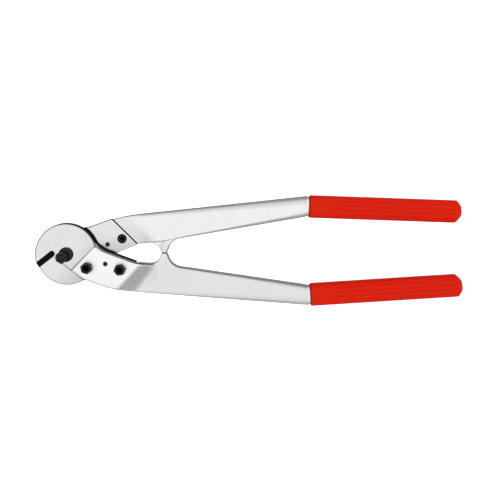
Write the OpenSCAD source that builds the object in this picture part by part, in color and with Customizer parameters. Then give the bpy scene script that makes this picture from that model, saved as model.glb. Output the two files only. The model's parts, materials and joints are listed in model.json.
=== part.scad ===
// Two-hand wire rope cutter, shut. Millimetres.
// +X runs from the blades to the grips, +Y to the upper arm and +Z out of the front.
// The origin is half way along the tool, on its long axis and on the plane where the blades meet.
// Half a turn about the X axis lays the lower arm and its blade on the upper ones.

/* [Blades] */
// Radius of the round head of each blade
head_r = 43; // [41:0.5:46]
// Thickness of each blade
blade_t = 7.5; // [6.5:0.25:9]
// Gap between the flat faces of the two blades
blade_gap = 0.1; // [0.05:0.05:0.2]
// How far the forged taper brings in a blade's outside face
blade_draft = 0.2; // [0.1:0.1:0.6]
// Chamfer round a blade's outside face
blade_chamfer = 0.7; // [0.4:0.1:1.2]
// Chamfer round a blade's flat face
flat_chamfer = 0.3; // [0.2:0.1:0.6]
// Slope of the tang, down from the long axis
tang_a = 21; // [18:0.5:24]
// Distance from the pivot to the tang's inner edge line
tang_in = 24.6; // [22:0.2:27]
// Slope of the tang's outer edge
heel_a = 18.9; // [17:0.1:21]
// Distance from the pivot to the tang's outer edge line
tang_out = 25.2; // [24:0.2:27]
// Radius of the hollow between the round head and the tang's inner edge
throat_r = 40; // [30:1:50]
// Distance from the pivot to the arm's shoulder, where the tang ends
shoulder_d = 79; // [77:0.2:80]
// Gap between the tang's end and the shoulder
tang_gap = 1.8; // [0.4:0.2:2.4]
// Slope of the shoulder, and of the cheek's end and ramp
shoulder_a = 45.2; // [43:0.2:48]

/* [Cutting edge] */
// Distance from the pivot to the line of the cutting edge
edge_d = 9; // [8:0.1:10]
// Slope of the cutting edge when the tool is shut
edge_a = 37.5; // [34:0.5:41]
// Width of the cutting bevel
bevel_w = 8; // [6:0.2:9]
// Distance from the pivot to the lap edge that bounds the notch
lap_d = 13.3; // [12.6:0.1:15]
// Slope of the lap edge, down from the long axis
lap_a = 38.7; // [35:0.5:42]

/* [Pivot] */
// Diameter of the pivot pin
pin_d = 18; // [17.8:0.1:18.6]
// Radial clearance of the moving blade on the pin
pin_fit = 0.05; // [0.02:0.01:0.1]
// Diameter of the pin's head
pin_head_d = 20; // [19.4:0.2:23]
// Thickness of the pin's head
pin_head_t = 2.6; // [2:0.2:4]
// Diameter of the clamp bolt
clamp_d = 7; // [6:0.5:7.5]
// Distance of the clamp bolt from the pin's axis
clamp_off = 5; // [4:0.1:5]
// Direction of the clamp bolt from the pin's axis
clamp_a = 216; // [180:1:260]
// Width across the flats of the clamp nut
clamp_nut_af = 15.5; // [13:0.5:17]
// Height of the clamp nut
clamp_nut_h = 7; // [6:0.5:9]
// Diameter of the washer behind the moving blade
washer_d = 27; // [24:0.5:30]
// Thickness of the washer
washer_t = 2.5; // [1.6:0.1:4]

/* [Arms] */
// Thickness of the arms
arm_t = 16; // [14:0.5:18]
// Thickness of the cheek that covers the tang
cheek_t = 10.5; // [8:0.5:12]
// Distance from the pivot to the cheek's end
cheek_end_d = 21.4; // [20:0.2:24]
// Distance from the pivot to the cheek's outer edge line
cheek_out = 22; // [20:0.2:23]
// Distance from the pivot to the top of the ramp behind the cheek
ramp_top_d = 83.4; // [82.8:0.2:88]
// Length of the ramp down to the arm's face
ramp_l = 17.8; // [15:0.2:19]
// Slope of the cheek's nose
nose_a = 33; // [30:0.5:36]
// Distance from the pivot to the edge of the cheek's nose
nose_d = 14.2; // [13.6:0.1:15]
// How far the tang's inner edge stands out past the cheek
tang_show = 1.6; // [0.6:0.2:2.4]
// Radius of the cheek's outer edge
cheek_r = 3.6; // [2.5:0.1:4.5]
// Radius of the arm's edges beside the window
edge_r = 2; // [1.2:0.1:3]
// Radius of the arm's edges at the grip
neck_r = 7; // [5:0.5:7.8]
// Distance from the long axis to the inner edge half way along the window
window_y = 14.4; // [13:0.2:15.4]
// Slope of the inner edge beside the window
window_a = 6.5; // [4:0.5:9]
// Place of the stops along the arms, from the pivot
stop_x = 135; // [128:0.5:142]
// Length of the face on each stop
stop_w = 6.6; // [5:0.2:9]
// Gap between the two stops
stop_gap = 0.3; // [0.2:0.1:0.6]
// Place of the arm's neck, from the pivot, where the grip begins
neck_x = 331; // [300:1:360]
// Distance of the neck's middle from the long axis
neck_y = 61; // [56:0.5:66]
// Width of the neck
neck_w = 28.5; // [26:0.5:30]
// Slope of the arm's inner edge
inner_a = 8.8; // [8:0.1:10]
// Slope of the arm's outer edge
outer_a = 5.4; // [4.6:0.1:6.2]

/* [Grips] */
// Length of each grip
grip_l = 210.4; // [190:0.2:240]
// Width of each grip
grip_w = 31.8; // [30.5:0.1:34]
// Thickness of each grip
grip_t = 25; // [22:0.5:28]
// Slope of each grip towards the long axis
grip_a = 2.8; // [0:0.1:5]
// Thickness of the rubber wall over the arm's core
grip_wall = 5; // [4.8:0.1:6]
// Depth of the grooves along the grip
groove_d = 0.6; // [0.3:0.1:1]
// Length of the chamfer on the inner side of the grip's end
end_in = 8.4; // [6:0.2:10]
// Length of the chamfer on the outer side of the grip's end
end_out = 6.2; // [5:0.2:7]

/* [Fasteners] */
// Diameter of the blade screws
screw_d = 8; // [7:0.5:8.5]
// Diameter of a screw's head
screw_head_d = 13; // [12:0.5:14]
// Height of a screw's head
screw_head_h = 4; // [3:0.2:4.6]
// Width across the flats of a screw's socket
socket_af = 6; // [5:0.5:7]
// Width across the flats of a nut
nut_af = 14; // [12:0.5:15]
// Height of a nut
nut_h = 6.5; // [5:0.5:8]
// Diameter of the spring pins
spring_pin_d = 6.5; // [5:0.5:7]

/* [Hidden] */
$fn = 64;
steps = 7;      // straight runs in each rounded corner of an outline
edge_steps = 4; // straight runs in each rounded edge of a section
slip = 0.02;    // radial clearance of a pin, screw or bolt in its own hole
screw_slack = 0.1;
sink = 0.15;     // how far a screw's head lies below the blade's flat face
edge_land = 0.4; // flat left along the cutting edge
far = 200;      // past the end of whatever is cut

// Heights above the plane where the blades meet
flat_z = blade_gap / 2;
cheek_z = blade_t + cheek_t;
arm_z = arm_t / 2;
nut_z = cheek_z + nut_h;
pin_front_z = blade_t + pin_head_t;
pin_rear_z = blade_t + blade_gap;
washer_z = pin_rear_z + washer_t;

function dir(a) = [cos(a), sin(a)];
function unit(v) = v / norm(v);
function lerp(a, b, t) = a + (b - a) * t;
function arc(c, r, a0, a1, n) = [for (i = [0:n]) c + r * dir(lerp(a0, a1, i / n))];

// How far a rounded edge of radius r lies below its face, at a distance from its foot
function dip(s, r) = s >= r ? 0 : r - sqrt(r * r - (r - s) * (r - s));

// A line is [direction of its normal, distance from the pivot along that normal].
function inset(l, d) = [l[0], l[1] - d];
function line_through(normal, p) = [normal, dir(normal) * p];
function meet(l, m) = (l[1] * dir(m[0] - 90) - m[1] * dir(l[0] - 90)) / sin(m[0] - l[0]);

// The corner b between a and c, rounded to radius r
function rounded(a, b, c, r) = let(
    u = unit(a - b), v = unit(c - b), half = acos(u * v) / 2,
    centre = b + unit(u + v) * r / sin(half),
    start = b + u * r / tan(half) - centre,
    turn = (180 - 2 * half) * sign(v[0] * u[1] - v[1] * u[0]),
    a0 = atan2(start[1], start[0]))
    arc(centre, r, a0, a0 + turn, steps);

// An open path through points, with a radius for each corner between its ends
function rounded_path(points, radii) = [
    points[0],
    for (i = [1:len(points) - 2]) each rounded(points[i - 1], points[i], points[i + 1], radii[i - 1]),
    points[len(points) - 1]];

// Where a path first crosses a line, and its height at x
function crossing(path, l) = [
    for (i = [0:len(path) - 2])
        let(n = dir(l[0]), s = n * path[i] - l[1], e = n * path[i + 1] - l[1])
        if (s <= 0 && e > 0) lerp(path[i], path[i + 1], s / (s - e))][0];

// Skin over closed rings that have the same number of points. Its ends are fans about a hub [x, y] at the
// height of their rings, or about their middles.
module skin(rings, hub = undef) {
    n = len(rings[0]);
    m = len(rings);
    points = concat([for (r = rings) each r], [fan_middle(rings[0], hub), fan_middle(rings[m - 1], hub)]);
    sides = [for (i = [0:m - 2], j = [0:n - 1]) let(k = (j + 1) % n, a = i * n, b = a + n)
        each [[a + j, b + k, a + k], [a + j, b + j, b + k]]];
    fans = [for (j = [0:n - 1]) let(k = (j + 1) % n, b = (m - 1) * n)
        each [[j, k, m * n], [b + k, b + j, m * n + 1]]];
    polyhedron(points, concat(sides, fans));
}
function fan_middle(ring, hub) = is_undef(hub) ? mean(ring) : [hub[0], hub[1], ring[0][2]];
function mean(ring) = [for (k = [0:2]) [for (p = ring) p[k]] * [for (p = ring) 1 / len(ring)]];

// Lines that bound the blade and the arm
tang_dir = -tang_a;
across_a = shoulder_a - 90; // normal of the shoulder, the cheek's end and the ramp
tang_in_line = [90 - tang_a, tang_in];
tang_out_line = [-90 - heel_a, tang_out];
tang_end_line = [across_a, shoulder_d - tang_gap];
edge_line = [edge_a - 90, -edge_d];
lap_line = [-90 - lap_a, lap_d];
root = meet(edge_line, lap_line);
heel_out_r = 8;
tang_corner_r = 1.2;

// Centre of the hollow of radius r between the round head and a line; side is 1 for a line above
function hollow(l, r, side) =
    dir(l[0]) * (l[1] + r) + dir(l[0] - side * 90) * sqrt(pow(head_r + r, 2) - pow(l[1] + r, 2));
function bearing(p) = atan2(p[1], p[0]);
throat_c = hollow(tang_in_line, throat_r, 1);
heel_c = hollow(tang_out_line, heel_out_r, -1);

// Outline of a whole blade, drawn in by d
function blade_outline(d) = let(
    end = inset(tang_end_line, d),
    low = meet(inset(tang_out_line, d), end),
    high = meet(end, inset(tang_in_line, d)))
    concat(
        arc([0, 0], head_r - d, bearing(throat_c) + 3, 357 + bearing(heel_c), 70),
        arc(heel_c, heel_out_r + d, bearing(heel_c) + 180, 90 - heel_a, steps),
        rounded(low - dir(-heel_a), low, high, max(0.3, tang_corner_r - d)),
        rounded(low, high, high - dir(tang_dir), max(0.3, tang_corner_r - d)),
        arc(throat_c, throat_r + d, 270 - tang_a, bearing(throat_c) + 180, 2 * steps));

// Places on the tang: u runs down the tang from the pivot and v across it, towards its inner edge
function on_tang(u, v) = u * dir(tang_dir) + v * dir(tang_dir + 90);
nose_at = on_tang(35, -4.8);
row_v = 8.8;
heel_in = 11; // from the shoulder to the heel screw
heel_u = (shoulder_d - heel_in + row_v * sin(tang_dir - across_a)) / cos(tang_dir - across_a);
heel_at = on_tang(heel_u, row_v);
dowel_at = on_tang(heel_u - 21.6, row_v);
screw_places = [nose_at, heel_at];

module at_mid() translate([-mid_x, 0, 0]) children();
module turned() rotate([180, 0, 0]) children();
module at(p) translate([p[0], p[1], 0]) children();
// A hole or a shaft along Z between two heights
module round_bar(d, z0, z1) translate([0, 0, z0]) cylinder(d = d, h = z1 - z0);
module hex_bar(af, z0, z1) translate([0, 0, z0]) cylinder(d = af / cos(30), h = z1 - z0, $fn = 6);

// The notch for the cable, and the bevel behind its cutting edge
module notch() {
    tip = root - far * dir(edge_a);
    foot = root + far * dir(-lap_a);
    translate([0, 0, -1]) linear_extrude(blade_t + 2) polygon([root, tip, [tip[0], foot[1]], foot]);
    rise = (blade_t - flat_z - edge_land) / bevel_w;
    run_out = 1.2; // how far the bevel's round end lies past the notch's root
    at(root) rotate([0, 0, edge_a]) intersection() {
        translate([0, 0, -1]) linear_extrude(blade_t + 2) {
            translate([-far, -1]) square([far + run_out, bevel_w + 2]);
            translate([run_out, bevel_w / 2]) circle(d = bevel_w + 0.4);
        }
        rotate([90, 0, 90]) translate([0, 0, -far]) linear_extrude(2 * far)
            polygon([
                [-2, flat_z + edge_land - 2 * rise],
                [bevel_w + 2, blade_t + 2 * rise],
                [bevel_w + 2, blade_t + 4],
                [-2, blade_t + 4]]);
    }
}

// The front blade as it lies on the lower arm. The rear blade is the same part turned over.
module blade() {
    layers = [
        [flat_z, flat_chamfer],
        [flat_z + flat_chamfer, 0],
        [blade_t - blade_chamfer, blade_draft],
        [blade_t, blade_draft + blade_chamfer]];
    difference() {
        skin([for (l = layers) [for (p = blade_outline(l[1])) [p[0], p[1], l[0]]]], [0, 0]);
        notch();
        round_bar(pin_d + 2 * pin_fit, -1, blade_t + 1);
        for (p = screw_places) at(p) {
            round_bar(screw_d + 2 * screw_slack, -1, blade_t + 1);
            round_bar(screw_head_d + 2 * screw_slack, -1, flat_z + sink + screw_head_h);
        }
        at(dowel_at) round_bar(spring_pin_d + 2 * slip, -1, blade_t + 1);
    }
}

// Lines that bound the arm, in the order met from the cheek to the neck
neck_in = [neck_x, neck_w / 2 - neck_y];
neck_out = [neck_x, -neck_w / 2 - neck_y];
cheek_in_line = inset(tang_in_line, tang_show);
window_line = line_through(90 - window_a, [117, -window_y]);
inner_line = line_through(90 - inner_a, neck_in);
outer_line = line_through(-90 - outer_a, neck_out);
nose_line = [-90 - nose_a, nose_d];
cheek_end_line = [across_a, cheek_end_d];
cheek_out_line = [-90 - tang_a, cheek_out];

// The arm's inner edge without the stop, from beside the round head to the neck
inner_edge = concat(
    arc(throat_c, throat_r + tang_show, bearing(throat_c) + 180, 270 - tang_a, 2 * steps),
    rounded_path([
        throat_c - (throat_r + tang_show) * dir(90 - tang_a) + dir(tang_dir),
        meet(cheek_in_line, window_line),
        meet(window_line, inner_line),
        neck_in],
        [30, 60]));

// The arm's outer edge, from the cheek's nose to the neck
outer_edge = rounded_path([
    meet(nose_line, cheek_end_line) - 20 * dir(-nose_a),
    meet(nose_line, cheek_out_line),
    meet(cheek_out_line, outer_line),
    neck_out],
    [12, 240]);

// One section of the arm, from its inner edge point to its outer one. The radii of its rounded edges
// are given in turn: inner and outer above, then outer and inner below.
function section(a, b, low, high, radii) = let(
    w = norm(b - a), u = (b - a) / w,
    corners = [
        [radii[0], high - radii[0], radii[0], 180],
        [w - radii[1], high - radii[1], radii[1], 90],
        [w - radii[2], low + radii[2], radii[2], 0],
        [radii[3], low + radii[3], radii[3], -90]])
    [for (c = corners, i = [0:edge_steps]) let(
        q = dir(c[3] - 90 * i / edge_steps) * c[2],
        p = a + u * (c[0] + q[0]))
        [p[0], p[1], c[1] + q[1]]];

// The cheek's face, the rounded top of its ramp and the ramp down to the arm's face. Behind, the arm starts
// level with the blade's flat face and its own ramp ends on the same line.
ramp_end_d = ramp_top_d + ramp_l;
ramp_a = atan((cheek_z - arm_z) / ramp_l);
ramp_r = 12;
round_d = ramp_top_d - ramp_r * tan(ramp_a / 2);
round_l = ramp_r * sin(ramp_a);
end_r = 1; // radius of the edge at the cheek's end
function head_high(d) =
    d <= round_d ? cheek_z - dip(d - cheek_end_d, end_r)
    : d < round_d + round_l ? cheek_z - ramp_r + sqrt(pow(ramp_r, 2) - pow(d - round_d, 2))
    : lookup(d, [[ramp_top_d, cheek_z], [ramp_end_d, arm_z]]);
function head_low(d) = lookup(d, [[shoulder_d, flat_z], [ramp_end_d, -arm_z]]);

// Sections across the head lie along the shoulder's slope
corner_r = 3.6; // radius of the cheek's corner beside the round head
inner_r = 1.2;  // radius of the cheek's inner edge
strip_r = 6;    // radius of the ramp's inner edge
function head_section(d) = let(
    corner = crossing(inner_edge, [across_a, d]),
    b = crossing(outer_edge, [across_a, d]),
    a = corner + unit(b - corner) * dip(d - cheek_end_d, corner_r),
    in_top = lookup(d, [[shoulder_d, inner_r], [ramp_top_d + 3, strip_r]]),
    out_top = lookup(d, [[cheek_end_d, 8], [cheek_end_d + 25, 5], [cheek_end_d + 45, cheek_r],
        [ramp_top_d, cheek_r], [ramp_end_d, edge_r]]))
    section(a, b, head_low(d), head_high(d), [in_top, out_top, edge_r, edge_r]);
head_stations = concat(
    [for (s = [0, 0.3, 1]) cheek_end_d + s * end_r],
    [for (i = [0:14]) lerp(cheek_end_d + corner_r, round_d, i / 14)],
    [for (i = [1:3]) round_d + round_l * i / 3],
    [lerp(round_d + round_l, ramp_end_d, 0.5), ramp_end_d]);

// Sections beyond the ramp are set out along the inner edge and swing square to the arm
ramp_in = crossing(inner_edge, [across_a, ramp_end_d]);
ramp_out = crossing(outer_edge, [across_a, ramp_end_d]);
swing = [[ramp_in[0], ramp_out[0]], [145, 122], [170, 163], [neck_x, neck_x + 2]];
function arm_section(x) = let(
    x_out = lookup(x, swing),
    r = lookup(x, [[stop_x, edge_r], [neck_x, neck_r]]),
    in_top = max(r, lookup(x, [[ramp_in[0], strip_r], [ramp_in[0] + 12, edge_r]])))
    section([x, lookup(x, inner_edge)], [x_out, lookup(x_out, outer_edge)], -arm_z, arm_z, [in_top, r, r, r]);
arm_stations = concat(
    [for (i = [1:10]) lerp(ramp_in[0], 170, i / 10)],
    [for (i = [1:4]) lerp(170, neck_x - 8, i / 4)]);

// The stop on the arm's inner edge, with a fillet at each of its roots
stop_y = -stop_gap / 2;
flank_a = 65;     // slope of the stop towards the window
back_a = 68;      // slope of the stop towards the grips
flank_r = 14;     // radius of the fillet towards the window
back_r = 20;      // radius of the fillet towards the grips
stop_sink = 0.05; // how deep the fillets' feet lie in the arm
stop_near = [stop_x - stop_w / 2, stop_y];
stop_far = [stop_x + stop_w / 2, stop_y];
flank_line = line_through(90 + flank_a, stop_near);
back_line = line_through(90 - back_a, stop_far);
flank_c = meet(inset(window_line, stop_sink - flank_r), inset(flank_line, -flank_r));
back_c = meet(inset(back_line, -back_r), inset(inner_line, stop_sink - back_r));
stop_path = concat(
    arc(flank_c, flank_r, 270 - window_a, 270 + flank_a, 2 * steps),
    rounded(stop_near - dir(flank_a), stop_near, stop_far, 1.5),
    rounded(stop_near, stop_far, stop_far + dir(-back_a), 1.5),
    arc(back_c, back_r, 270 - back_a, 270 - inner_a, 2 * steps));
stop_n = len(stop_path);
stop_base = [[stop_path[stop_n - 1][0], -30], [stop_path[0][0], -30]];
module stop() {
    z = arm_z - 0.02;
    function face(p, side) = side > 0 ? z : min(z, -head_low(dir(across_a) * p) - 0.02);
    into = [for (i = [0:stop_n - 1]) let(t = unit(stop_path[min(i + 1, stop_n - 1)] - stop_path[max(i - 1, 0)]))
        [t[1], -t[0]]];
    rings = [for (side = [1, -1], i = [0:edge_steps]) let(a = 90 * (side > 0 ? 1 - i / edge_steps : i / edge_steps))
        concat(
            [for (j = [0:stop_n - 1]) let(
                r = lookup(stop_path[j][1], [[-16, edge_r], [-4, 1.4]]),
                p = stop_path[j] + into[j] * r * (1 - cos(a)))
                [p[0], p[1], side * (face(stop_path[j], side) - r * (1 - sin(a)))]],
            [for (p = stop_base) [p[0], p[1], side * (face(p, side) - edge_r * (1 - sin(a)))]])];
    skin(rings, [stop_x, -22]);
}

// The grip's own frame: s runs along it from its mouth and v across it, towards the long axis
grip_at = [neck_x + 4.3, -neck_y];
mid_x = (grip_at[0] + grip_l * cos(grip_a) - head_r) / 2;
function on_grip(s, v) = grip_at + s * dir(grip_a) + v * dir(grip_a + 90);
land_l = 3.7;   // bare land between the arm and the grip's mouth
land_w = neck_w - 1;
land_t = arm_t - 1;
core_w = grip_w - 2 * grip_wall;
core_t = grip_t - 2 * grip_wall;
core_r = 6;
core_l = grip_l - 14;
function core_section(s, w, t, r) = section(on_grip(s, w / 2), on_grip(s, -w / 2), -t / 2, t / 2, [r, r, r, r]);

module arm() {
    rings = concat(
        [for (d = head_stations) head_section(d)],
        [for (x = arm_stations) arm_section(x)],
        [core_section(-land_l, neck_w, arm_t, neck_r),
            core_section(-land_l, land_w, land_t, neck_r),
            core_section(0, land_w, land_t, neck_r),
            core_section(0, core_w, core_t, core_r),
            core_section(core_l, core_w, core_t, core_r)]);
    difference() {
        union() {
            skin(rings);
            stop();
        }
        rotate([0, 0, across_a]) translate([-far, -far, -far])
            cube([far + shoulder_d, 2 * far, far + blade_t]);
        for (p = screw_places) at(p) round_bar(screw_d + 2 * screw_slack, blade_t - 1, cheek_z + 1);
        at(dowel_at) round_bar(spring_pin_d + 2 * slip, blade_t - 1, cheek_z + 1);
    }
}

// Half of the front of a grip's section, from its middle to its side: [across, height, groove there]
grip_r = 9;
grooves = [2.8, 9.2]; // places of the grooves, from the middle
groove_w = 1.2;       // half of a groove's width
function crown(v) = let(over = max(0, v - grip_w / 2 + grip_r)) grip_t / 2 - grip_r + sqrt(grip_r * grip_r - over * over);
grip_half = concat(
    [for (g = grooves, k = [-1:1]) let(v = g + k * groove_w) [v, crown(v), k == 0 ? 1 : 0]],
    [for (i = [0:4]) let(q = grip_r * dir(55 - 55 * i / 4)) [grip_w / 2 - grip_r + q[0], grip_t / 2 - grip_r + q[1], 0]]);
n_half = len(grip_half);

// Ring round the grip at s. It is drawn in at its inner side, its outer side and its faces by insets,
// and its grooves have a share of their depth.
function grip_ring(s, insets, share, dip) = let(
    sv = 1 - (insets[0] + insets[1]) / grip_w,
    sz = 1 - 2 * insets[2] / grip_t,
    mid = (insets[0] - insets[1]) / 2,
    half = [for (h = grip_half) [h[0] * sv, (h[1] - h[2] * groove_d * share) * sz]],
    front = concat([for (i = [n_half - 1:-1:0]) [-half[i][0], half[i][1]]], half),
    loop = concat(front, [for (i = [len(front) - 1:-1:0]) [front[i][0], -front[i][1]]]))
    [for (q = loop) let(f = pow(2 * q[1] / grip_t, 2), p = on_grip(s + dip * f, -q[0] - mid)) [p[0], p[1], q[1]]];
mouth_dip = 2; // how far the grip's mouth draws back over the flats of the core
end_in_w = 8.4;  // how far in the chamfers of the grip's end reach: inner side, outer side and faces
end_out_w = 7;
end_face_w = 4.5;
function end_ring(s, share) = grip_ring(grip_l - s, [
    lookup(s, [[0, end_in_w], [end_in, 0]]),
    lookup(s, [[0, end_out_w], [end_out, 0]]),
    lookup(s, [[0, end_face_w], [end_out, 0]])], share, 0);

module grip() {
    rings = [
        grip_ring(0, [2.4, 2.4, 2.4], 0, mouth_dip),
        grip_ring(0.5, [1.3, 1.3, 1.3], 0, mouth_dip),
        grip_ring(1.6, [0.4, 0.4, 0.4], 0, mouth_dip),
        grip_ring(3.4, [0, 0, 0], 0, mouth_dip / 2),
        grip_ring(24, [0, 0, 0], 0, 0),
        grip_ring(40, [0, 0, 0], 1, 0),
        end_ring(end_in + 4, 1),
        end_ring(end_in, 0.6),
        end_ring(end_out, 0.2),
        end_ring(0.8, 0),
        grip_ring(grip_l, [end_in_w + 0.7, end_out_w + 0.7, end_face_w + 0.7], 0, 0)];
    difference() {
        skin(rings);
        skin([
            core_section(-1, core_w + 2 * slip, core_t + 2 * slip, core_r + slip),
            core_section(core_l + 0.3, core_w + 2 * slip, core_t + 2 * slip, core_r + slip)]);
    }
}

// Low-headed socket screw, with its head just under the blade's flat face and its end short of the nut's top
module screw() {
    low = flat_z + sink;
    edge = 1.2;
    top = nut_z - 1.6;
    difference() {
        union() {
            translate([0, 0, low]) cylinder(d1 = screw_head_d - 2.4 * edge, d2 = screw_head_d, h = edge);
            round_bar(screw_head_d, low + edge, low + screw_head_h);
            round_bar(screw_d, low + screw_head_h - 1, top - 0.6);
            translate([0, 0, top - 0.6]) cylinder(d1 = screw_d, d2 = screw_d - 1.2, h = 0.6);
        }
        hex_bar(socket_af, low - 1, low + 0.6 * screw_head_h);
    }
}

// Hexagonal nut with its corners turned off at the top and a lead cut round its bore
module nut(af, d, z0, h, lead) {
    difference() {
        intersection() {
            hex_bar(af, z0, z0 + h);
            translate([0, 0, z0 - 1]) cylinder(d1 = 1.95 * af + 2 * h, d2 = 0.94 * af, h = h + 1.01);
        }
        round_bar(d + 2 * slip, z0 - 1, z0 + h + 1);
        translate([0, 0, z0 + h - lead]) cylinder(d1 = d, d2 = d + 2 * lead + 0.2, h = lead + 0.1);
    }
}

// Slotted spring pin through the cheek and the tang
module spring_pin() {
    wall = 2.2;
    difference() {
        round_bar(spring_pin_d, flat_z + 0.3, cheek_z - 0.4);
        round_bar(spring_pin_d - 2 * wall, 0, cheek_z);
        translate([0, -0.5, 0]) cube([spring_pin_d, 1, cheek_z]);
    }
}

clamp_at = clamp_off * dir(clamp_a);

// Headed pin with the clamp bolt's hole off its axis and a hole for a pin spanner in its head
module pin() {
    edge = 0.6;
    difference() {
        union() {
            round_bar(pin_d, -pin_rear_z, blade_t + 1);
            round_bar(pin_head_d, blade_t, pin_front_z - edge);
            translate([0, 0, pin_front_z - edge]) cylinder(d1 = pin_head_d, d2 = pin_head_d - 2 * edge, h = edge);
        }
        at(clamp_at) round_bar(clamp_d + 2 * slip, -far, far);
        at(-0.65 * clamp_at) round_bar(2.4, pin_front_z - 2, far);
    }
}

module washer() {
    difference() {
        round_bar(washer_d, -washer_z, -pin_rear_z);
        at(clamp_at) round_bar(clamp_d + 2 * slip, -far, far);
    }
}

// Hexagon bolt that runs off the pin's axis, so that its head and nut key the pin and hold it in
bolt_head_h = 5.3;
module bolt() at(clamp_at) {
    round_bar(clamp_d, -washer_z - 1, pin_front_z + clamp_nut_h - 0.9);
    translate([0, 0, -washer_z]) mirror([0, 0, 1]) intersection() {
        hex_bar(nut_af, 0, bolt_head_h);
        translate([0, 0, -1]) cylinder(d1 = 1.95 * nut_af + 2 * bolt_head_h, d2 = 0.94 * nut_af, h = bolt_head_h + 1.01);
    }
}

module lock_nut() at(clamp_at) rotate([0, 0, 30]) nut(clamp_nut_af, clamp_d, pin_front_z, clamp_nut_h, 1.2);

alloy = [0.80, 0.81, 0.81];
steel = [0.78, 0.79, 0.78];
black = [0.12, 0.12, 0.12];
red = [0.86, 0.12, 0.07];
nose_turn = 40.5; // how far round each nut has been driven
heel_turn = 7.4;

module lower_arm() color(alloy) at_mid() arm();
module upper_arm() color(alloy) at_mid() turned() arm();
module lower_grip() color(red) at_mid() grip();
module upper_grip() color(red) at_mid() turned() grip();
module front_blade() color(steel) at_mid() blade();
module rear_blade() color(steel) at_mid() turned() blade();
module lower_nose_screw() color(black) at_mid() at(nose_at) screw();
module lower_heel_screw() color(black) at_mid() at(heel_at) screw();
module lower_nose_nut() color(black) at_mid() at(nose_at) rotate(nose_turn) nut(nut_af, screw_d, cheek_z, nut_h, 0.7);
module lower_heel_nut() color(black) at_mid() at(heel_at) rotate(heel_turn) nut(nut_af, screw_d, cheek_z, nut_h, 0.7);
module lower_spring_pin() color(black) at_mid() at(dowel_at) spring_pin();
module upper_nose_screw() color(black) at_mid() turned() at(nose_at) screw();
module upper_heel_screw() color(black) at_mid() turned() at(heel_at) screw();
module upper_nose_nut() color(black) at_mid() turned() at(nose_at) rotate(heel_turn) nut(nut_af, screw_d, cheek_z, nut_h, 0.7);
module upper_heel_nut() color(black) at_mid() turned() at(heel_at) rotate(nose_turn) nut(nut_af, screw_d, cheek_z, nut_h, 0.7);
module upper_spring_pin() color(black) at_mid() turned() at(dowel_at) spring_pin();
module pivot_pin() color(black) at_mid() pin();
module pivot_washer() color(black) at_mid() washer();
module clamp_bolt() color(black) at_mid() bolt();
module clamp_nut() color(black) at_mid() lock_nut();

lower_arm();
upper_arm();
lower_grip();
upper_grip();
front_blade();
rear_blade();
lower_nose_screw();
lower_heel_screw();
lower_nose_nut();
lower_heel_nut();
lower_spring_pin();
upper_nose_screw();
upper_heel_screw();
upper_nose_nut();
upper_heel_nut();
upper_spring_pin();
pivot_pin();
pivot_washer();
clamp_bolt();
clamp_nut();
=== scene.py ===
"""A two-hand wire rope cutter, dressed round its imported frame."""
import json
import math

import bmesh
import bpy
from mathutils import Matrix, Vector

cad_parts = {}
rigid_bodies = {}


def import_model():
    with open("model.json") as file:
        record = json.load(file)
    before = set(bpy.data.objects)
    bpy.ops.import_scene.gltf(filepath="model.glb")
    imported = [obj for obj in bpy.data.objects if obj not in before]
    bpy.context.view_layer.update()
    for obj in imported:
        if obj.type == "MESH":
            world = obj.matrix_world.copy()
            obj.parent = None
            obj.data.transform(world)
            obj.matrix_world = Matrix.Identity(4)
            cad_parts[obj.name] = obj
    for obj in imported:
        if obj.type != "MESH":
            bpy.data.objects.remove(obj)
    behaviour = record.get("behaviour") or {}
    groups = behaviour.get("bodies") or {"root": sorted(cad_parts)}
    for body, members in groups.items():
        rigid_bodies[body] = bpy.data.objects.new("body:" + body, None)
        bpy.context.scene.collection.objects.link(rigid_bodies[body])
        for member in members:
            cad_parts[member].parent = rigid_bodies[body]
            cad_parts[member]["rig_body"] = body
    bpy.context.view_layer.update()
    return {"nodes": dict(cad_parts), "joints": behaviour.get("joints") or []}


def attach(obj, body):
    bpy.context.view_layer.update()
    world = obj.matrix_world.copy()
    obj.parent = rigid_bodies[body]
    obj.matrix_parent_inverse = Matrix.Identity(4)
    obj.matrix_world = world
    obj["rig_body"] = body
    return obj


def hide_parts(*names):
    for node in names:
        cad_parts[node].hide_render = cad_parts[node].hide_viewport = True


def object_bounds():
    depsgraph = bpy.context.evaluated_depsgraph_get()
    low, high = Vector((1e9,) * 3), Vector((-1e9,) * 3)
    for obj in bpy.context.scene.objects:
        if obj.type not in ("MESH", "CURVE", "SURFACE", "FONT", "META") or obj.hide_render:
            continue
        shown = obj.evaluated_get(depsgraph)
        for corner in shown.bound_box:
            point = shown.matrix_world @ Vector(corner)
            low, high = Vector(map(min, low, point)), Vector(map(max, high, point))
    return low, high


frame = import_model()

# --- Studio --------------------------------------------------------------------------------------
# A pale table under a large soft box, with the tool lying on its rear nuts and its grips.
# The camera looks straight down from a metre above, from past the upper arm, and is shifted back to the tool.
scene = bpy.context.scene
scene.view_settings.view_transform = "Standard"

TOOL_TILT = math.radians(0.8)
VIEW_MIDDLE = Vector((0.00207, 0.0017, 0.0))
CAMERA_HEIGHT = 1.0
CAMERA_RISE = 0.140
FIELD_WIDTH = 0.693
SENSOR_WIDTH = 36.0
BACKGROUND = 1.0
SKY_LIGHT = 0.90
TABLE_HALF = 3.0
PAPER = (0.86, 0.86, 0.86, 1)
PAPER_GLOW = 0.80

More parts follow.
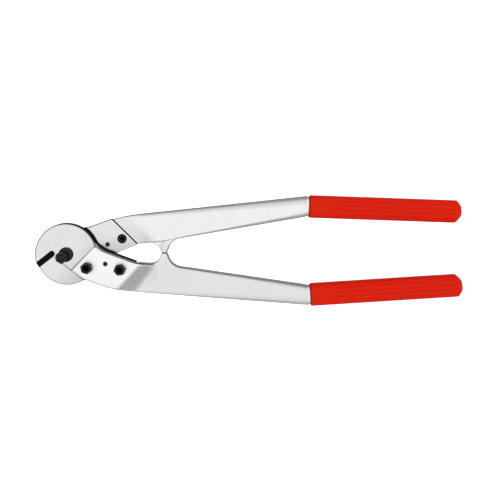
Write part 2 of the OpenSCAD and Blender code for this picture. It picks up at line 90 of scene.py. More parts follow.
camera_data = bpy.data.cameras.new("camera")
camera_data.sensor_width = SENSOR_WIDTH
camera_data.lens = camera_data.sensor_width * CAMERA_HEIGHT / FIELD_WIDTH
camera_data.shift_y = -CAMERA_RISE / FIELD_WIDTH
camera = bpy.data.objects.new("camera", camera_data)
scene.collection.objects.link(camera)
picture_up = Vector((math.sin(TOOL_TILT), math.cos(TOOL_TILT), 0.0))
camera.location = VIEW_MIDDLE + CAMERA_RISE * picture_up + Vector((0, 0, CAMERA_HEIGHT))
camera.rotation_euler = (0, 0, -TOOL_TILT)
scene.camera = camera


def node(tree, kind, inputs=(), **settings):
    """A node of a tree, with its settings and its inputs, which are values or other nodes' outputs."""
    made = tree.nodes.new(kind)
    for name, value in settings.items():
        setattr(made, name, value)
    for socket, value in dict(inputs).items():
        if isinstance(value, bpy.types.NodeSocket):
            tree.links.new(value, made.inputs[socket])
        else:
            made.inputs[socket].default_value = value
    return made


def combine(tree, operation, a, b=0.0):
    """Two numbers combined."""
    return node(tree, "ShaderNodeMath", {0: a, 1: b}, operation=operation).outputs[0]


def times(tree, *values):
    """The product of several numbers."""
    product = values[0]
    for value in values[1:]:
        product = combine(tree, "MULTIPLY", product, value)
    return product


def most(tree, *values):
    """The largest of several numbers."""
    largest = values[0]
    for value in values[1:]:
        largest = combine(tree, "MAXIMUM", largest, value)
    return largest


def seen_rays(tree):
    """1 for the rays that see the background, straight or in a reflection, and 0 for those that light."""
    rays = node(tree, "ShaderNodeLightPath").outputs
    return most(tree, rays["Is Camera Ray"], rays["Is Glossy Ray"], rays["Is Transmission Ray"])


world = bpy.data.worlds.new("studio")
scene.world = world
world.use_nodes = True
tree = world.node_tree
tree.nodes.clear()
strength = node(tree, "ShaderNodeMapRange", {0: seen_rays(tree), 3: SKY_LIGHT, 4: BACKGROUND})
sky = node(tree, "ShaderNodeBackground", {"Color": (1, 1, 1, 1), "Strength": strength.outputs[0]})
node(tree, "ShaderNodeOutputWorld", {"Surface": sky.outputs[0]})


def soft_box(name, place, aim, size, watts):
    """A square area lamp at a place, turned to a point."""
    data = bpy.data.lights.new(name, "AREA")
    data.shape = "SQUARE"
    data.size = size
    data.energy = watts
    lamp = bpy.data.objects.new(name, data)
    scene.collection.objects.link(lamp)
    lamp.location = place
    lamp.rotation_euler = (Vector(aim) - Vector(place)).to_track_quat("-Z", "Y").to_euler()


soft_box("overhead_box", place=(0.2, 0.2, 1.6), aim=(0, 0, 0), size=2.4, watts=0.7)
soft_box("upper_right_box", place=(0.9, 0.9, 1.1), aim=(-0.1, 0, 0), size=0.7, watts=2.0)

table_mesh = bpy.data.meshes.new("table")
table_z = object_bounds()[0][2]
corners = [(x * TABLE_HALF, y * TABLE_HALF, table_z) for x, y in ((-1, -1), (1, -1), (1, 1), (-1, 1))]
table_mesh.from_pydata(corners, [], [(0, 1, 2, 3)])
table = bpy.data.objects.new("table", table_mesh)
scene.collection.objects.link(table)
paper = bpy.data.materials.new("white_paper")
paper.use_nodes = True
tree = paper.node_tree
tree.nodes.clear()
lit = node(tree, "ShaderNodeBsdfDiffuse", {"Color": PAPER})
glow_strength = times(tree, seen_rays(tree), PAPER_GLOW)
glow = node(tree, "ShaderNodeEmission", {"Color": (1, 1, 1, 1), "Strength": glow_strength})
both = node(tree, "ShaderNodeAddShader", {0: lit.outputs[0], 1: glow.outputs[0]})
node(tree, "ShaderNodeOutputMaterial", {"Surface": both.outputs[0]})
table_mesh.materials.append(paper)

# --- Blades --------------------------------------------------------------------------------------
# Two forged and hardened steel blades, the same part twice, lapped flat to flat on the pivot pin. Their
# faces are ground bright with fine slanted lines. Rims, bevels and bores stay black from the hardening.
pivot = Vector(frame["joints"][0]["pos_m"])
BLADE_THICKNESS = 0.0075
LAP_DISTANCE = 0.0133
LAP_EDGE_BREAK = 0.0005
GRIND_DEPTH = 0.000003
GROUND_FLATNESS = (0.985, 0.998)
STEEL_ROUGHNESS = (0.55, 0.17)

# Directions in the blades' plane, in degrees
LAP_DIRECTION = -128.7
CHEEK_DIRECTION = -44.8
TANG_BACK_DIRECTION = -108.9
RIM_DIRECTION = 25.0
GRIND_LEAN = -22.7

# Where marks start and are full, and then fade and end, in metres from the pivot or the middle plane
CHEEK_SHADE = (0.006, 0.032)
CHEEK_SHADE_TOP = (0.010, 0.024)
CHEEK_END = (0.0192, 0.0197)
CHEEK_END_FADE = (-0.025, 0.015)
OUTSIDE_DEPTH = (0.0030, 0.0045)
RIM_SHADOW_BAND = (0.0431, 0.0434, 0.0447, 0.0462)
RIM_MARGIN = (0.0412, 0.0418)
RIM_MARGIN_END = 0.0432
RIM_SHADE_WIDENING = (0.010, 0.040)
RIM_SHADE_WIDENING_SIZE = 0.0008
LAP_SHADOW = (0.0121, 0.0124)
LAP_SHADOW_END = 0.0134
LAP_SHADOW_LEFT = -0.0165
TANG_BACK = (0.0238, 0.0242, 0.0262, 0.0264)
TANG_BACK_START = (0.0425, 0.0430)

GRIND_TROUGH = (0.735, 0.738, 0.720, 1)
GRIND_CREST = (0.775, 0.778, 0.758, 1)
GRIND_STREAK = (0.690, 0.696, 0.684, 1)
GRIND_CLOUD = (0.700, 0.710, 0.702, 1)
SHADED_STEEL = (0.560, 0.574, 0.568, 1)
SHADE_AND_RIM_STEEL = (0.020, 0.020, 0.019, 1)
SCALE_DARK = (0.004, 0.004, 0.004, 1)
SCALE_PALE = (0.014, 0.013, 0.012, 1)


def new_material(name):
    """A material with an empty tree."""
    made = bpy.data.materials.new(name)
    made.use_nodes = True
    made.node_tree.nodes.clear()
    return made, made.node_tree


def place_on(tree, along=1.0, turn=0.0):
    """Object coordinates, turned about Z by degrees and then shrunk along Y, for patterns that run that way."""
    sockets = {"Vector": node(tree, "ShaderNodeTexCoord").outputs["Object"], "Angle": math.radians(turn)}
    turned = node(tree, "ShaderNodeVectorRotate", sockets, rotation_type="Z_AXIS").outputs[0]
    return node(tree, "ShaderNodeMapping", {"Vector": turned, "Scale": (1.0, along, 1.0)}).outputs[0]


def place_parts(tree):
    """The three object coordinates."""
    return node(tree, "ShaderNodeSeparateXYZ", {0: place_on(tree)}).outputs


def noise(tree, scale, detail=2.0, rough=0.5, along=1.0, turn=0.0):
    """A noise pattern about one half, with its scale in waves a metre."""
    sockets = {"Vector": place_on(tree, along, turn), "Scale": scale, "Detail": detail, "Roughness": rough}
    return node(tree, "ShaderNodeTexNoise", sockets).outputs["Fac"]


def spread(tree, value, low, high, to_low, to_high, smooth=False):
    """A value carried from one range to another, and held at its ends."""
    made = node(tree, "ShaderNodeMapRange", {0: value, 1: low, 2: high, 3: to_low, 4: to_high})
    if smooth:
        made.interpolation_type = "SMOOTHSTEP"
    return made.outputs[0]


def past(tree, value, start, full, share=1.0, smooth=False):
    """0 until a value's start, and a share from where it is full."""
    return spread(tree, value, start, full, 0.0, share, smooth)


def before(tree, value, fade, end, share=1.0):
    """A share until a value's fade, and 0 from its end."""
    return spread(tree, value, fade, end, share, 0.0)


def band(tree, value, start, full, fade, end):
    """1 in a band of a value, and 0 on either side of it."""
    return times(tree, past(tree, value, start, full), before(tree, value, fade, end))


def contrast(tree, pattern, share=1.0):
    """The middle of a noise pattern, stretched from 0 to a share."""
    return past(tree, pattern, 0.35, 0.65, share)


def along_line(tree, x, y, degrees):
    """How far a point lies along a direction in the blades' plane."""
    turn = math.radians(degrees)
    return combine(tree, "ADD", times(tree, x, math.cos(turn)), times(tree, y, math.sin(turn)))


def mix_colour(tree, share, a, b):
    """Two colours mixed by a share."""
    return node(tree, "ShaderNodeMix", {0: share, 6: a, 7: b}, data_type="RGBA").outputs[2]


def surface_normal(tree):
    """The three parts of the normal, in the piece's own axes."""
    normal = node(tree, "ShaderNodeTexCoord").outputs["Normal"]
    return node(tree, "ShaderNodeSeparateXYZ", {0: normal}).outputs


def flatness(tree, low, high, smooth=True):
    """1 on faces that lie flat to the blades' plane and 0 on those that lean or stand."""
    return past(tree, combine(tree, "ABSOLUTE", surface_normal(tree)[2]), low, high, smooth=smooth)


def bumped(tree, height, depth, base=None):
    """A normal that follows a height, with a depth in metres, on the surface's own normal or another."""
    sockets = {"Height": height, "Distance": depth, "Strength": 1.0}
    if base is not None:
        sockets["Normal"] = base
    return node(tree, "ShaderNodeBump", sockets).outputs[0]


def principled(tree, **sockets):
    """The shader of a surface, wired to its output."""
    names = {key.replace("_", " ").title().replace("Ior", "IOR"): value for key, value in sockets.items()}
    shader = node(tree, "ShaderNodeBsdfPrincipled", names)
    node(tree, "ShaderNodeOutputMaterial", {"Surface": shader.outputs[0]})


def smooth_across(shape, sharp):
    """Smooth shading on a bmesh, except across edges that turn by an angle in degrees or more."""
    for face in shape.faces:
        face.smooth = True
    for edge in shape.edges:
        edge.smooth = edge.calc_face_angle(math.pi) < math.radians(sharp)


def dressed(name, material, sharp=30.0, rim=0.0, broken=None):
    """A copy of a CAD node with its loose triangles joined, smooth across shallow edges, that stands for it.
    A rim softens all its sharp edges, and broken picks edges that get a small chamfer."""
    source = frame["nodes"][name]
    shape = bmesh.new()
    shape.from_mesh(source.data)
    bmesh.ops.remove_doubles(shape, verts=shape.verts, dist=1e-6)
    if broken:
        edges = [edge for edge in shape.edges if all(broken(vert.co) for vert in edge.verts)
                 and edge.calc_face_angle(0.0) > math.radians(60)]
        bmesh.ops.bevel(shape, geom=edges, offset=LAP_EDGE_BREAK, segments=1, affect="EDGES",
                        clamp_overlap=True)
    smooth_across(shape, sharp)
    mesh = bpy.data.meshes.new(name + "_dressed")
    shape.to_mesh(mesh)
    shape.free()
    if "custom_normal" in mesh.attributes:
        mesh.attributes.remove(mesh.attributes["custom_normal"])
    mesh.materials.append(material)
    piece = bpy.data.objects.new(name + "_dressed", mesh)
    scene.collection.objects.link(piece)
    if rim:
        bevel = piece.modifiers.new("rim", "BEVEL")
        bevel.limit_method = "ANGLE"
        bevel.angle_limit = math.radians(sharp)
        bevel.width = rim
        bevel.segments = 2
        bevel.harden_normals = True
    else:
        even = piece.modifiers.new("even", "WEIGHTED_NORMAL")
        even.keep_sharp = True
    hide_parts(name)
    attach(piece, source["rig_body"])
    return piece


def on_lap_edge(side):
    """Whether a point lies on the lap edge of a blade's outside face; side is 1 in front and -1 behind."""
    turn = math.radians(LAP_DIRECTION)

    def test(point):
        across = (point.x - pivot.x) * math.cos(turn) + side * point.y * math.sin(turn)
        return abs(across - LAP_DISTANCE) < 1e-5 and abs(side * point.z - BLADE_THICKNESS) < 1e-5
    return test


steel, tree = new_material("ground_steel")
flat = flatness(tree, *GROUND_FLATNESS)
fine_lines = noise(tree, scale=2200.0, along=0.015, turn=GRIND_LEAN)
streaks = noise(tree, scale=420.0, detail=3.0, along=0.03, turn=GRIND_LEAN)
cloud = noise(tree, scale=28.0, detail=1.0)
ground = mix_colour(tree, contrast(tree, fine_lines), GRIND_TROUGH, GRIND_CREST)
ground = mix_colour(tree, before(tree, streaks, 0.36, 0.5, share=0.45), ground, GRIND_STREAK)
ground = mix_colour(tree, contrast(tree, cloud, share=0.35), ground, GRIND_CLOUD)

# Painted shade darkens the ground faces beside the cheek, a painted shadow line runs along the cheek's end,
# and a painted shadow band lies just outside the other blade's rim. Both blades carry the same marks, since Y
# is measured on each one's own side.
place = place_parts(tree)
x = combine(tree, "SUBTRACT", place[0], pivot.x)
y = place[1]
own_y = times(tree, y, combine(tree, "SIGN", place[2]))
outside = past(tree, combine(tree, "ABSOLUTE", place[2]), *OUTSIDE_DEPTH)
inside = combine(tree, "SUBTRACT", 1.0, outside)
radius = combine(tree, "SQRT", combine(tree, "ADD", times(tree, x, x), times(tree, y, y)))

# Painted shade on the ground faces beside the cheek's nose
shade = times(tree, past(tree, along_line(tree, x, y, CHEEK_DIRECTION), *CHEEK_SHADE, share=0.85),
              before(tree, y, *CHEEK_SHADE_TOP))
ground = mix_colour(tree, shade, ground, SHADED_STEEL)

# A painted shadow line along the cheek's end, fading along its length
cheek_end_shadow = times(tree, past(tree, along_line(tree, x, own_y, CHEEK_DIRECTION), *CHEEK_END), outside,
                 spread(tree, own_y, *CHEEK_END_FADE, 0.95, 0.35))
# A painted shadow band on the faces towards the middle, just outside the other blade's rim
rim_shadow = times(tree, band(tree, radius, *RIM_SHADOW_BAND), inside)

# A dark outline just inside the disc's rim, partly the rim's black scale and partly painted shade that widens
# towards the upper right
shade_widening = past(tree, along_line(tree, x, y, RIM_DIRECTION), *RIM_SHADE_WIDENING, share=RIM_SHADE_WIDENING_SIZE)
rim_and_shade = times(tree, past(tree, combine(tree, "ADD", radius, shade_widening), *RIM_MARGIN),
               spread(tree, outside, 0.0, 1.0, 0.45, 0.85),
               combine(tree, "LESS_THAN", radius, RIM_MARGIN_END))

# A painted shadow line along the lap edge on the outside face, from beside the pivot to the cheek's corner
to_lap = along_line(tree, x, own_y, LAP_DIRECTION)
lap_shadow = times(tree, past(tree, to_lap, *LAP_SHADOW, share=0.95), outside,
                  combine(tree, "LESS_THAN", to_lap, LAP_SHADOW_END),
                  combine(tree, "GREATER_THAN", x, LAP_SHADOW_LEFT))

# A painted shade band along the tang's outer edge, on the faces towards the middle beyond the disc
toward = combine(tree, "SUBTRACT", 0.0, combine(tree, "SIGN", surface_normal(tree)[2]))
to_back = along_line(tree, x, times(tree, y, toward), TANG_BACK_DIRECTION)
tang_back = times(tree, band(tree, to_back, *TANG_BACK), past(tree, radius, *TANG_BACK_START), inside)

# The painted shadows and shade, with the rim outline, take one near-black colour
painted_shade_and_rim = most(tree, cheek_end_shadow, rim_shadow, rim_and_shade, lap_shadow, tang_back)
ground = mix_colour(tree, painted_shade_and_rim, ground, SHADE_AND_RIM_STEEL)
scale = mix_colour(tree, noise(tree, scale=400.0, detail=3.0), SCALE_DARK, SCALE_PALE)
principled(tree, base_color=mix_colour(tree, flat, scale, ground), metallic=flat,
           roughness=spread(tree, flat, 0, 1, *STEEL_ROUGHNESS), specular_ior_level=0.0,
           normal=bumped(tree, fine_lines, GRIND_DEPTH))
for name, side in (("front_blade", 1), ("rear_blade", -1)):
    dressed(name, steel, broken=on_lap_edge(side))

# --- Pivot ---------------------------------------------------------------------------------------
# A headed pin with a washer behind, held by a hexagon bolt that runs off the pin's axis and so keys it.
# All are turned or forged steel, blackened and lightly oiled, and rubbed paler on their flat faces.
FASTENER_RIM = 0.0002
OXIDE_DEPTH = 0.00004
RUBBED_FLATNESS = (0.80, 0.95)
OXIDE_MOTTLE = (0.3, 0.7)
OXIDE_ROUGHNESS = (0.32, 0.5)
OXIDE_DEEP = (0.003, 0.003, 0.003, 1)
OXIDE_DARK = (0.010, 0.009, 0.009, 1)
OXIDE_PALE = (0.042, 0.034, 0.031, 1)

black, tree = new_material("black_oxide")
mottle = noise(tree, scale=700.0, detail=3.0)
worn = mix_colour(tree, contrast(tree, mottle), OXIDE_DARK, OXIDE_PALE)
principled(tree, base_color=mix_colour(tree, flatness(tree, *RUBBED_FLATNESS), OXIDE_DEEP, worn),
           roughness=spread(tree, mottle, *OXIDE_MOTTLE, *OXIDE_ROUGHNESS), specular_ior_level=0.12,
           normal=bumped(tree, mottle, OXIDE_DEPTH))
for name in ("pivot_pin", "pivot_washer", "clamp_bolt", "clamp_nut"):
    dressed(name, black, rim=FASTENER_RIM)

# --- Arms ----------------------------------------------------------------------------------------
# Two forged light-alloy levers, blasted to a fine satin, with the cheek over the blade's tang the brightest.
# The upper arm carries painted light and the lower arm painted shade, and painted shade greys the ramp
# behind the cheek to a mottled grey and darkens the walls and the edges as they round over.
CHEEK_DEPTH = (0.0145, 0.0175)
STOP_X = 0.135
STOP_HALF_LENGTH = 0.014
STOP_HALF_WIDTH = 0.024
MOUTH_X = 0.084076
MOUTH_Y = 0.061
GRIP_SLOPE = 2.8
BLAST_DEPTH = 0.00003
ALLOY_ROUGHNESS = (0.40, 0.48)

# How squarely a face looks out of the arm's plane, from 0 for a wall to 1 for a flat face
STOP_RISE = 0.85
FACE_RISE = (0.58, 0.93)
WALL_RISE = (0.10, 0.40)
RAMP_RISE = (0.6, 0.8)
ROUNDING_RISE = (0.88, 0.997)
RAMP_AXIS = (0.71, 0.70)
RAMP_LEAN = (0.03, 0.44)

# The arm's long edges as straight lines: a direction in degrees, and the distance out from the pivot
OUTER_EDGE = (95.4, 0.04377)
INNER_EDGE = (-81.2, 0.00445)
NOSE_DIRECTION = 123.0

# How wide the greyed strips are at two distances from the pivot, in metres
OUTER_STRIP_RUN, OUTER_STRIP_WIDTH = (0.11, 0.33), (0.0046, 0.0125)
INNER_STRIP_RUN, INNER_STRIP_WIDTH = (0.22, 0.33), (0.0010, 0.0085)

# Where marks start and are full, and then fade and end, in metres from the pivot or the middle plane
UPPER_HALF = (-0.02, 0.02)
GREYED_FACE = (0.090, 0.110)
INNER_STRIP = (0.20, 0.22)
NOSE_EDGE = (0.0118, 0.0124)
NOSE_REACH = (0.060, 0.070)
ROUNDED_EDGE = (0.100, 0.112)
MOUTH_LAND = (-0.0026, -0.0022)
MOUTH_SHADOW = (-0.0007, -0.0005)
LIT_WALL_DEPTH = (0.0088, 0.0094, 0.0148, 0.0156)
LIT_WALL_REACH = (0.095, 0.097)
LIT_WALL_INNER_EDGE = (0.0015, 0.0030)
LIT_WALL_INNER_REACH = (0.105, 0.110)
LIT_WALL_THROAT = (0.034, 0.040)
LIT_THROAT = (0.040, 0.048)
SEAT_DEPTH = (-0.005, -0.004)
SHOULDER_GAP = (0.0770, 0.0775, 0.0794, 0.0796)

SHADED_LOWER_FACE = (0.755, 0.757, 0.738, 1)
LIT_UPPER_FACE = (0.850, 0.849, 0.838, 1)
CHEEK_FACE = (0.930, 0.927, 0.920, 1)
CLOUDED_FACE = (0.70, 0.706, 0.696, 1)
RAMP_SHADE_DARK = (0.340, 0.360, 0.355, 1)
RAMP_SHADE_PALE = (0.430, 0.448, 0.442, 1)
EDGE_SHADE_DARK = (0.150, 0.158, 0.155, 1)
EDGE_SHADE_PALE = (0.180, 0.188, 0.185, 1)
EDGE_SHADE_STRIP = (0.245, 0.260, 0.257, 1)
ROUNDING_SHADE = (0.340, 0.352, 0.348, 1)
LIT_NOSE = (0.480, 0.490, 0.485, 1)
BRIGHT_LAND = (0.960, 0.962, 0.960, 1)
SHADED_WALL = (0.110, 0.116, 0.114, 1)
LIT_WALL = (0.300, 0.308, 0.304, 1)
BRIGHTER_LIT_WALL = (0.620, 0.630, 0.624, 1)
SHADOW_BLACK = (0.012, 0.012, 0.012, 1)

alloy, tree = new_material("blasted_alloy")
place = place_parts(tree)
reach = combine(tree, "SUBTRACT", place[0], pivot.x)
from_axis = combine(tree, "ABSOLUTE", place[1])
depth = combine(tree, "ABSOLUTE", place[2])
lean_x, lean_y, rise = surface_normal(tree)[:3]
facing = combine(tree, "SIGN", rise)
rise = combine(tree, "ABSOLUTE", rise)

# The stops' flat faces are shaded by the facets themselves, free of the roundings beside them
from_stop = combine(tree, "ABSOLUTE", combine(tree, "SUBTRACT", place[0], pivot.x + STOP_X))
stop_face = times(tree, combine(tree, "LESS_THAN", from_stop, STOP_HALF_LENGTH),
                  combine(tree, "LESS_THAN", from_axis, STOP_HALF_WIDTH),
                  combine(tree, "GREATER_THAN", rise, STOP_RISE))
normals = node(tree, "ShaderNodeNewGeometry").outputs
plain = mix_colour(tree, stop_face, normals["Normal"], normals["True Normal"])
flat = most(tree, rise, stop_face)
level = past(tree, flat, *FACE_RISE)
wall = before(tree, rise, *WALL_RISE)

upper = past(tree, times(tree, place[1], facing), *UPPER_HALF, smooth=True)
cheek = past(tree, depth, *CHEEK_DEPTH, smooth=True)
cloud = contrast(tree, noise(tree, scale=45.0, detail=3.0), share=0.2)
blotch = contrast(tree, noise(tree, scale=420.0, detail=3.0, rough=0.6))
speck = noise(tree, scale=1400.0, rough=0.7)
# Painted light on the upper arm's faces and painted shade on the lower arm's
face = mix_colour(tree, upper, SHADED_LOWER_FACE, LIT_UPPER_FACE)
face = mix_colour(tree, cheek, face, CHEEK_FACE)
face = mix_colour(tree, cloud, face, CLOUDED_FACE)
# Painted shade: where the ramp leans down and to the right it takes a darker mottled grey
down_ramp = combine(tree, "SUBTRACT", times(tree, lean_x, RAMP_AXIS[0]),
                    times(tree, lean_y, RAMP_AXIS[1], facing))
ramp = times(tree, past(tree, down_ramp, *RAMP_LEAN), past(tree, rise, *RAMP_RISE))
ramp_shade_colour = mix_colour(tree, blotch, RAMP_SHADE_DARK, RAMP_SHADE_PALE)
# Painted shade for the faces that lean as the edges round over
edge_shade = mix_colour(tree, blotch, EDGE_SHADE_DARK, EDGE_SHADE_PALE)

# Painted shade greys the face towards its long edges, over a wider strip the nearer the grip,
# and most on the upper arm's outer edge
to_outer = combine(tree, "SUBTRACT", OUTER_EDGE[1], along_line(tree, reach, from_axis, OUTER_EDGE[0]))
to_inner = combine(tree, "SUBTRACT", INNER_EDGE[1], along_line(tree, reach, from_axis, INNER_EDGE[0]))
outer_width = spread(tree, reach, *OUTER_STRIP_RUN, *OUTER_STRIP_WIDTH)
inner_width = spread(tree, reach, *INNER_STRIP_RUN, *INNER_STRIP_WIDTH)
outer_strip = times(tree, before(tree, combine(tree, "DIVIDE", to_outer, outer_width), 0.0, 1.0),
                    spread(tree, upper, 0.0, 1.0, 0.30, 0.68))
inner_strip = times(tree, before(tree, combine(tree, "DIVIDE", to_inner, inner_width), 0.0, 1.0),
                    past(tree, reach, *INNER_STRIP, share=0.5))
strip = times(tree, most(tree, outer_strip, inner_strip), past(tree, reach, *GREYED_FACE))
face = mix_colour(tree, strip, face, EDGE_SHADE_STRIP)

# Painted light keeps the nose's edge and its wall brighter than the rest of the painted edge shade
to_nose = along_line(tree, reach, from_axis, NOSE_DIRECTION)
nose = times(tree, past(tree, to_nose, *NOSE_EDGE), before(tree, reach, *NOSE_REACH))
edge_shade = mix_colour(tree, nose, edge_shade, LIT_NOSE)
side_wall = mix_colour(tree, nose, SHADED_WALL, LIT_NOSE)

# Painted shade greys the face a little where its edges begin to round over
rounding = times(tree, before(tree, flat, *ROUNDING_RISE, share=0.6), past(tree, reach, *ROUNDED_EDGE))
face = mix_colour(tree, rounding, face, ROUNDING_SHADE)

# A bright land and a painted black shadow line lie in front of the grip's mouth
past_mouth = along_line(tree, combine(tree, "SUBTRACT", place[0], MOUTH_X), 0.0, GRIP_SLOPE)
to_mouth = combine(tree, "ADD", past_mouth, times(tree, combine(tree, "SUBTRACT", MOUTH_Y, from_axis),
                                                  math.sin(math.radians(GRIP_SLOPE))))
land = past(tree, to_mouth, *MOUTH_LAND, share=0.8)
mouth_shadow = past(tree, to_mouth, *MOUTH_SHADOW, share=0.75)
face = mix_colour(tree, land, face, BRIGHT_LAND)
colour = mix_colour(tree, ramp, mix_colour(tree, level, edge_shade, face), ramp_shade_colour)

# The walls are painted dark as shade, and painted lighter as light beside the cheek,
# along the inner edges and in the throat
lit_walls = most(tree, times(tree, band(tree, depth, *LIT_WALL_DEPTH), before(tree, reach, *LIT_WALL_REACH)),
            times(tree, before(tree, to_inner, *LIT_WALL_INNER_EDGE), past(tree, reach, *LIT_WALL_INNER_REACH)),
            before(tree, reach, *LIT_WALL_THROAT))
side_wall = mix_colour(tree, lit_walls, side_wall, LIT_WALL)
side_wall = mix_colour(tree, before(tree, reach, *LIT_THROAT), side_wall, BRIGHTER_LIT_WALL)
colour = mix_colour(tree, wall, colour, side_wall)

# The seat under the tang is painted black as shadow, and a painted black shadow line lies past the tang's end
gap = band(tree, along_line(tree, reach, from_axis, -CHEEK_DIRECTION), *SHOULDER_GAP)
seat = most(tree, before(tree, times(tree, place[2], facing), *SEAT_DEPTH), times(tree, gap, wall))
for mark in (seat, mouth_shadow):
    colour = mix_colour(tree, mark, colour, SHADOW_BLACK)
    wall = most(tree, wall, mark)
principled(tree, base_color=colour, metallic=combine(tree, "SUBTRACT", 1.0, wall),
           roughness=spread(tree, blotch, 0, 1, *ALLOY_ROUGHNESS), specular_ior_level=0.0,
           normal=bumped(tree, speck, BLAST_DEPTH, plain))
for name in ("lower_arm", "upper_arm"):
    dressed(name, alloy)

# --- Blade screws, nuts and spring pins ----------------------------------------------------------
# Each blade is held to its arm by two low-headed socket screws with hexagon nuts and by a slotted spring
# pin driven through the cheek and the tang. All have the pivot's black oxide. The screws' heads, which lie
# just inside the lap, are rubbed paler than their sockets and threaded ends.
HEAD_DEPTH = (0.0014, 0.0019)
HEAD_DARK = (0.018, 0.016, 0.015, 1)
HEAD_PALE = (0.042, 0.037, 0.034, 1)
OILY_BLACK = (0.002, 0.002, 0.002, 1)

oily, tree = new_material("oily_black_oxide")
mottle = noise(tree, scale=700.0, detail=3.0)
head = before(tree, combine(tree, "ABSOLUTE", place_parts(tree)[2]), *HEAD_DEPTH)
rubbed = mix_colour(tree, mottle, HEAD_DARK, HEAD_PALE)
principled(tree, base_color=mix_colour(tree, head, OILY_BLACK, rubbed), roughness=0.5,
           specular_ior_level=0.02, normal=bumped(tree, mottle, OXIDE_DEPTH))
for side in ("lower", "upper"):
    for part in ("nose_screw", "heel_screw"):
        dressed(side + "_" + part, oily, rim=FASTENER_RIM)
    for part in ("nose_nut", "heel_nut", "spring_pin"):
        dressed(side + "_" + part, black, rim=FASTENER_RIM)

# --- Grips ---------------------------------------------------------------------------------------
# Moulded red rubber sleeves pushed over the arms' cores. A grip is one ring that follows a rule: it comes
# out of the blind bore, turns over the mouth's lip, runs to the chamfered end with shallow grooves on its
# front and back, and closes there.
GRIP = {
    "Mouth X": MOUTH_X, "Mouth Y": -MOUTH_Y, "Slope": math.radians(GRIP_SLOPE), "Length": 0.2104,
    "Width": 0.0313, "Thickness": 0.0248, "Corner radius": 0.0115,
    "Core width": 0.02184, "Core thickness": 0.01504, "Core radius": 0.00602, "Core length": 0.1967,
    "Lip radius": 0.0026, "Mouth dip": 0.002, "Dip length": 0.024,
    "Inner chamfer": 0.0084, "Inner depth": 0.0084, "Outer chamfer": 0.0062, "Outer depth": 0.007,
    "Face depth": 0.0045, "Groove depth": 0.0006, "Near groove": 0.0028, "Far groove": 0.0092,
    "Groove width": 0.001, "Crown": 0.028}
ROWS = 150
ROUND = 241

# Shares of the rows where the bore's end, the bore, the mouth's face and the outside end
BORE_END, BORE, MOUTH_FACE, OUTSIDE = 0.03, 0.10, 0.13, 0.97
CHAMFER_BOW = 1.25
GRAIN_DEPTH = 0.00003
GROOVE_START = (0.024, 0.040)
GROOVE_STOP = (0.003, 0.012)
GROOVED_FACE = (0.3, 0.6)
SIDE_FLATNESS = (0.9, 0.3)

RED_DARK = (0.725, 0.0165, 0.0045, 1)
RED_PALE = (0.760, 0.0190, 0.0058, 1)
RED_SHADE = (0.530, 0.0045, 0.0016, 1)


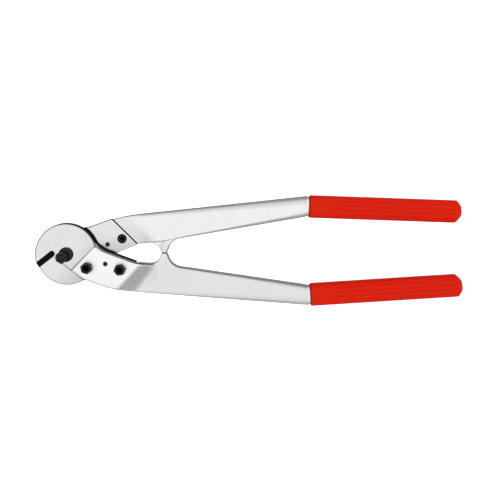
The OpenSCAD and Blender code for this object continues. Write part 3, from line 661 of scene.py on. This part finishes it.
def grip_tree(material):
    """The rule of a grip, as a Geometry Nodes tree with a named input for each of its sizes."""
    tree = bpy.data.node_groups.new("moulded_grip", "GeometryNodeTree")
    tree.interface.new_socket("Geometry", in_out="OUTPUT", socket_type="NodeSocketGeometry")
    for label in GRIP:
        tree.interface.new_socket(label, in_out="INPUT", socket_type="NodeSocketFloat")
    size = tree.nodes.new("NodeGroupInput").outputs

    def add(a, b):
        return combine(tree, "ADD", a, b)

    def less(a, b):
        return combine(tree, "SUBTRACT", a, b)

    def mul(*values):
        return times(tree, *values)

    def over(a, b):
        return combine(tree, "DIVIDE", a, b)

    def least(a, b):
        return combine(tree, "MINIMUM", a, b)

    def between(a, b, share):
        return add(a, mul(less(b, a), share))

    def held(value, limit):
        """A value kept between a limit and its negative."""
        return most(tree, least(value, limit), mul(limit, -1.0))

    def rounded(step, radius):
        """How far a rounded edge draws in, at a step from its foot."""
        left = less(1.0, least(over(step, radius), 1.0))
        return mul(radius, less(1.0, combine(tree, "SQRT", less(1.0, mul(left, left)))))

    def into_chamfer(to_end, length):
        """How far down a chamfer a row lies, from 0 at its foot to 1 at the end."""
        return combine(tree, "POWER", most(tree, less(1.0, over(to_end, length)), 0.0), CHAMFER_BOW)

    sheet = node(tree, "GeometryNodeMeshGrid",
                 {"Size X": 1.0, "Size Y": 1.0, "Vertices X": ROWS, "Vertices Y": ROUND})
    position = node(tree, "GeometryNodeInputPosition").outputs[0]
    spot = node(tree, "ShaderNodeSeparateXYZ", {0: position}).outputs
    row = add(spot[0], 0.5)
    angle = mul(add(spot[1], 0.5), 2 * math.pi)
    cosine = combine(tree, "COSINE", angle)
    sine = combine(tree, "SINE", angle)

    # How far along the grip each row lies, out of the bore and down the outside
    opened = past(tree, row, 0.0, BORE_END)
    in_bore = before(tree, row, BORE_END, BORE)
    outside = past(tree, row, BORE, MOUTH_FACE)
    run = past(tree, row, MOUTH_FACE, OUTSIDE)
    closed = before(tree, row, OUTSIDE, 1.0)
    fill = mul(opened, closed)
    along_outside = mul(size["Length"], 0.5, less(1.0, combine(tree, "COSINE", mul(run, math.pi))))
    along = add(mul(size["Core length"], in_bore), along_outside)

    # How far the end's chamfers and the rounded lips draw the ring in
    to_end = less(size["Length"], along_outside)
    inner = mul(size["Inner depth"], into_chamfer(to_end, size["Inner chamfer"]))
    past_outer = into_chamfer(to_end, size["Outer chamfer"])
    outer = mul(size["Outer depth"], past_outer)
    lip = add(rounded(along_outside, size["Lip radius"]), rounded(to_end, mul(size["Lip radius"], 0.5)))
    half_width = less(mul(less(less(size["Width"], inner), outer), 0.5), lip)
    half_depth = less(less(mul(size["Thickness"], 0.5), mul(size["Face depth"], past_outer)), lip)
    half_width = between(mul(size["Core width"], 0.5), half_width, outside)
    half_depth = between(mul(size["Core thickness"], 0.5), half_depth, outside)
    corner = between(size["Core radius"], size["Corner radius"], outside)
    corner = least(corner, mul(least(half_width, half_depth), 0.98))

    # The ring's section is a rounded rectangle, with two grooves on its front and its back
    across = mul(fill, add(held(mul(size["Crown"], cosine), less(half_width, corner)), mul(corner, cosine)))
    height = mul(fill, add(held(mul(size["Crown"], sine), less(half_depth, corner)), mul(corner, sine)))
    ridge = combine(tree, "ABSOLUTE", across)
    grooves = 0.0
    for label in ("Near groove", "Far groove"):
        off = over(less(ridge, size[label]), size["Groove width"])
        grooves = add(grooves, combine(tree, "EXPONENT", mul(off, off, -1.0)))
    share = mul(past(tree, along_outside, *GROOVE_START), past(tree, to_end, *GROOVE_STOP))
    on_face = past(tree, combine(tree, "ABSOLUTE", sine), *GROOVED_FACE)
    grooved = mul(grooves, share, on_face)
    height = less(height, mul(combine(tree, "SIGN", height), size["Groove depth"], grooved, closed))

    # The mouth's face dips at its middle, and the whole grip leans with the arm
    bow = over(height, mul(size["Thickness"], 0.5))
    dip = mul(size["Mouth dip"], most(tree, less(1.0, over(along, size["Dip length"])), 0.0))
    along = add(along, mul(dip, bow, bow))
    across = less(mul(across, -1.0), mul(less(inner, outer), 0.5, outside))
    turn_cos = combine(tree, "COSINE", size["Slope"])
    turn_sin = combine(tree, "SINE", size["Slope"])
    x = add(size["Mouth X"], less(mul(along, turn_cos), mul(across, turn_sin)))
    y = add(size["Mouth Y"], add(mul(along, turn_sin), mul(across, turn_cos)))
    spots = node(tree, "ShaderNodeCombineXYZ", {0: x, 1: y, 2: height})
    marked = node(tree, "GeometryNodeStoreNamedAttribute",
                  {"Geometry": sheet.outputs["Mesh"], "Name": "groove", "Value": grooved},
                  data_type="FLOAT", domain="POINT")
    shaped = node(tree, "GeometryNodeSetPosition",
                  {"Geometry": marked.outputs[0], "Position": spots.outputs[0]})
    joined = node(tree, "GeometryNodeMergeByDistance", {"Geometry": shaped.outputs[0], "Distance": 2e-6})
    real = node(tree, "GeometryNodeRealizeInstances", {"Geometry": joined.outputs[0]})
    skin = node(tree, "GeometryNodeSetMaterial", {"Geometry": real.outputs[0], "Material": material})
    node(tree, "NodeGroupOutput", {0: skin.outputs[0]})
    return tree


def grown(name, tree, sizes):
    """A plain piece with the mesh that a tree makes at these sizes, its faces outwards and shaded smooth."""
    holder = bpy.data.objects.new(name, bpy.data.meshes.new(name))
    scene.collection.objects.link(holder)
    modifier = holder.modifiers.new("rule", "NODES")
    modifier.node_group = tree
    for item in tree.interface.items_tree:
        if item.item_type == "SOCKET" and item.in_out == "INPUT":
            modifier[item.identifier] = sizes[item.name]
    evaluated = holder.evaluated_get(bpy.context.evaluated_depsgraph_get())
    made = bpy.data.meshes.new_from_object(evaluated)
    bpy.data.objects.remove(holder)
    shape = bmesh.new()
    shape.from_mesh(made)
    bmesh.ops.recalc_face_normals(shape, faces=shape.faces)
    smooth_across(shape, 35.0)
    shape.to_mesh(made)
    shape.free()
    piece = bpy.data.objects.new(name, made)
    scene.collection.objects.link(piece)
    return piece


rubber, tree = new_material("red_rubber")
cloud = noise(tree, scale=40.0)
grain = noise(tree, scale=1500.0)
red = mix_colour(tree, cloud, RED_DARK, RED_PALE)
groove = node(tree, "ShaderNodeAttribute", attribute_name="groove").outputs["Fac"]
sides = flatness(tree, *SIDE_FLATNESS, smooth=False)
# Painted shade darkens the red in the grooves and on the sides
groove_and_side_shade = times(tree, most(tree, times(tree, groove, 0.5), sides), 0.8)
principled(tree, base_color=mix_colour(tree, groove_and_side_shade, red, RED_SHADE), roughness=0.55,
           specular_ior_level=0.03, normal=bumped(tree, grain, GRAIN_DEPTH))
rule = grip_tree(rubber)
for name, half_turn in (("lower_grip", 0.0), ("upper_grip", math.pi)):
    grip = grown(name + "_moulded", rule, GRIP)
    grip.data.transform(Matrix.Rotation(half_turn, 4, "X"))
    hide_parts(name)
    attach(grip, frame["nodes"][name]["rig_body"])
